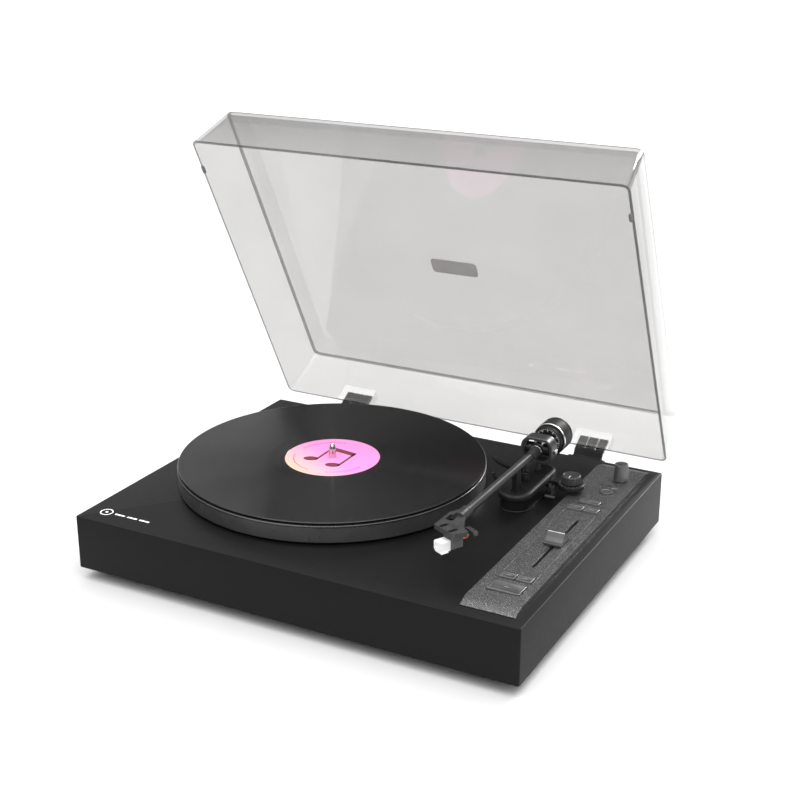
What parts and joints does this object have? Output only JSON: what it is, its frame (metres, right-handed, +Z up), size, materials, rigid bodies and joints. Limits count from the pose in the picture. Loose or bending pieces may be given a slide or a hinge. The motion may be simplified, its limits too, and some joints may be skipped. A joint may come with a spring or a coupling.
{
  "type": "turntable record player",
  "caption": "Flat plinth with a round platter and record, a straight tonearm, a raised control strip and a hinged clear dust cover held open.",
  "frame": {"origin": "middle of the bounding box's bottom, on the floor under the feet", "axes": "+X to the right along the front, +Y from the front to the hinges, +Z up"},
  "size_m": [0.4504, 0.4178, 0.4021],
  "materials": {
    "cabinet": "satin black moulded plinth",
    "rubber": "black rubber",
    "panel": "grey fleck anodised strip",
    "button": "satin dark grey caps",
    "knob": "satin dark grey",
    "fader": "light grey fader cap",
    "clear": "clear smoke-tinted acrylic",
    "lamp": "translucent lamp lens",
    "led": "red lamp lens",
    "board": "green circuit board",
    "steel": "bright steel",
    "alloy": "dark satin cast alloy",
    "felt": "black felt",
    "vinyl": "grooved black vinyl",
    "label": "pink printed paper",
    "black": "black moulding",
    "black_metal": "black-painted alloy",
    "grey": "satin grey alloy",
    "weight": "dark satin steel",
    "white": "white plastic",
    "red": "red insulated wire",
    "green": "green insulated wire",
    "copper": "copper windings on a steel core",
    "badge": "blank metal plaque"
  },
  "bodies": {
    "plinth": {"plinth": "cabinet", "bottom_cover": "cabinet", "foot_fl": "rubber", "foot_fr": "rubber", "foot_bl": "rubber", "foot_br": "rubber", "control_panel": "panel", "power_led": "led", "main_board": "board", "bearing_housing": "steel", "motor_stator": "copper", "arm_base": "black", "arm_rest": "black", "hinge_bracket_l": "black_metal", "hinge_bracket_r": "black_metal", "audio_sockets": "black", "power_inlet": "black"},
    "dust_cover": {"dust_cover": "clear", "bumper_l": "rubber", "bumper_r": "rubber", "badge": "badge", "hinge_arm_l": "black", "hinge_arm_r": "black"},
    "platter": {"platter": "alloy", "slipmat": "felt", "spindle": "steel", "motor_rotor": "steel"},
    "record": {"record": "vinyl", "record_label": "label"},
    "arm_yoke": {"gimbal_ring": "grey", "pivot_screw_l": "steel", "pivot_screw_r": "steel"},
    "arm": {"pivot_block": "black_metal", "arm_tube": "grey", "headshell": "grey", "finger_lift": "grey", "cartridge": "black", "stylus": "steel", "stylus_guard": "white", "lead_red": "red", "lead_white": "white", "lead_green": "green"},
    "counterweight": {"counterweight": "weight"},
    "dial_ring": {"dial_ring": "black"},
    "arm_lift": {"arm_lift": "black"},
    "cue_lever": {"cue_lever": "black_metal"},
    "rest_clip": {"rest_clip": "black"},
    "anti_skate_knob": {"anti_skate_knob": "knob"},
    "power_knob": {"power_knob": "knob"},
    "pitch_fader": {"pitch_fader": "fader"},
    "lamp_post": {"lamp_post": "lamp"},
    "line_switch": {"line_switch": "white"},
    "ground_screw": {"ground_screw": "steel"},
    "start_stop_button": {"start_stop_button": "button"},
    "speed_button_a": {"speed_button_a": "button"},
    "speed_button_b": {"speed_button_b": "button"},
    "range_button_a": {"range_button_a": "button"},
    "range_button_b": {"range_button_b": "button"},
    "lock_button": {"lock_button": "button"},
    "lamp_button": {"lamp_button": "button"}
  },
  "joints": [
    {"name": "cover_hinge", "type": "hinge", "parent": "plinth", "child": "dust_cover", "pos_m": [0, 0.15504, 0.053], "axis": [-1, 0, 0], "range_deg": [-62.35, 0]},
    {"name": "platter_spin", "type": "hinge", "parent": "plinth", "child": "platter", "pos_m": [-0.0589, -0.01946, 0.0832], "axis": [0, 0, 1], "continuous": true},
    {"name": "record_lift", "type": "slide", "parent": "platter", "child": "record", "axis": [0, 0, 1], "range_m": [0, 0.02]},
    {"name": "arm_swing", "type": "hinge", "parent": "plinth", "child": "arm_yoke", "pos_m": [0.1282, 0.05584, 0.1042], "axis": [0, 0, 1], "range_deg": [-52, 0]},
    {"name": "arm_raise", "type": "hinge", "parent": "arm_yoke", "child": "arm", "pos_m": [0.1282, 0.05584, 0.1042], "axis": [-1, 0, 0], "range_deg": [0, 3.3]},
    {"name": "lift_rise", "type": "slide", "parent": "plinth", "child": "arm_lift", "axis": [0, 0, 1], "range_m": [0, 0.0027]},
    {"name": "cue_turn", "type": "hinge", "parent": "plinth", "child": "cue_lever", "pos_m": [0.14, 0.04414, 0.0737], "axis": [-1, 0, 0], "range_deg": [0, 45.5]},
    {"name": "weight_turn", "type": "hinge", "parent": "arm", "child": "counterweight", "pos_m": [0.1282, 0.08994, 0.1042], "axis": [0, 1, 0], "range_deg": [-180, 180]},
    {"name": "dial_turn", "type": "hinge", "parent": "counterweight", "child": "dial_ring", "pos_m": [0.1282, 0.07865, 0.1042], "axis": [0, 1, 0], "range_deg": [-180, 180]},
    {"name": "clip_turn", "type": "hinge", "parent": "plinth", "child": "rest_clip", "pos_m": [0.123, 0.00234, 0.0952], "axis": [0, 1, 0], "range_deg": [0, 118]},
    {"name": "anti_skate_turn", "type": "hinge", "parent": "plinth", "child": "anti_skate_knob", "pos_m": [0.1647, 0.05054, 0.0812], "axis": [0, 0, -1], "range_deg": [0, 270]},
    {"name": "power_turn", "type": "hinge", "parent": "plinth", "child": "power_knob", "pos_m": [0.198, 0.09814, 0.0782], "axis": [0, 0, -1], "range_deg": [0, 60]},
    {"name": "pitch_slide", "type": "slide", "parent": "plinth", "child": "pitch_fader", "axis": [0, 1, 0], "range_m": [-0.043, 0.043]},
    {"name": "lamp_rise", "type": "slide", "parent": "plinth", "child": "lamp_post", "axis": [0, 0, 1], "range_m": [0, 0.008]},
    {"name": "line_select", "type": "slide", "parent": "plinth", "child": "line_switch", "axis": [1, 0, 0], "range_m": [-0.0025, 0.0025]},
    {"name": "ground_turn", "type": "hinge", "parent": "plinth", "child": "ground_screw", "pos_m": [0.112, 0.15015, 0.0362], "axis": [0, 1, 0], "range_deg": [-180, 180]},
    {"name": "start_stop_press", "type": "slide", "parent": "plinth", "child": "start_stop_button", "axis": [0, 0, -1], "range_m": [0, 0.001], "stiffness_N_per_m": 400, "springref_m": -0.001},
    {"name": "speed_a_press", "type": "slide", "parent": "plinth", "child": "speed_button_a", "axis": [0, 0, -1], "range_m": [0, 0.001], "stiffness_N_per_m": 400, "springref_m": -0.001},
    {"name": "speed_b_press", "type": "slide", "parent": "plinth", "child": "speed_button_b", "axis": [0, 0, -1], "range_m": [0, 0.001], "stiffness_N_per_m": 400, "springref_m": -0.001},
    {"name": "range_a_press", "type": "slide", "parent": "plinth", "child": "range_button_a", "axis": [0, 0, -1], "range_m": [0, 0.001], "stiffness_N_per_m": 400, "springref_m": -0.001},
    {"name": "range_b_press", "type": "slide", "parent": "plinth", "child": "range_button_b", "axis": [0, 0, -1], "range_m": [0, 0.001], "stiffness_N_per_m": 400, "springref_m": -0.001},
    {"name": "lock_press", "type": "slide", "parent": "plinth", "child": "lock_button", "axis": [0, 0, -1], "range_m": [0, 0.001], "stiffness_N_per_m": 400, "springref_m": -0.001},
    {"name": "lamp_press", "type": "slide", "parent": "plinth", "child": "lamp_button", "axis": [0, 0, -1], "range_m": [0, 0.001], "stiffness_N_per_m": 400, "springref_m": -0.001}
  ],
  "couplings": [
    {"joint": "lift_rise", "follows": "arm_raise", "m_per_rad": 0.04514},
    {"joint": "cue_turn", "follows": "arm_raise", "ratio": 13.636}
  ]
}
